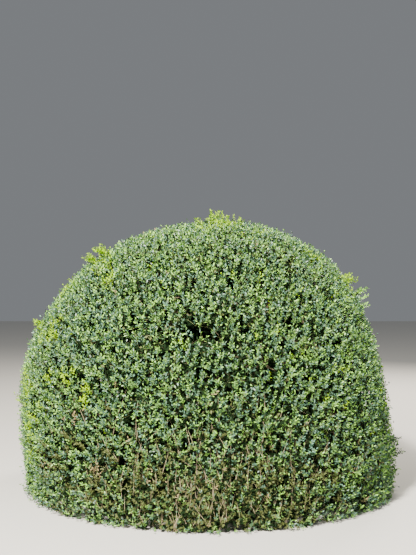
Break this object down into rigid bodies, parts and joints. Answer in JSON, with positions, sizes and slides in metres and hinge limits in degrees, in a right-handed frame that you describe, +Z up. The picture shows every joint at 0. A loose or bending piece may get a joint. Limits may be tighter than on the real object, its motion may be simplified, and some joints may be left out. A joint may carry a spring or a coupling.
{
  "type": "clipped common box bush",
  "caption": "Large common box shrub clipped to a broad dome with foliage down to the ground, on a short hidden trunk and boughs, rooted in the ground.",
  "frame": {"origin": "middle of the flat cut under the trunk, at ground level", "axes": "+Z up the trunk; the side seen in the picture faces -Y, with +X to its right"},
  "size_m": [2.7512, 2.7105, 2.0354],
  "materials": {
    "bark": "rough grey-brown bark",
    "foliage": "small glossy blue-green leaves"
  },
  "bodies": {
    "root": {"trunk": "bark", "bough_crown": "bark", "bough_front_left": "bark", "bough_front_right": "bark", "bough_right": "bark", "bough_back_right": "bark", "bough_back_left": "bark", "bough_left": "bark", "foliage_crown": "foliage", "foliage_front_left": "foliage", "foliage_front_right": "foliage", "foliage_right": "foliage", "foliage_back_right": "foliage", "foliage_back_left": "foliage", "foliage_left": "foliage"}
  },
  "joints": []
}
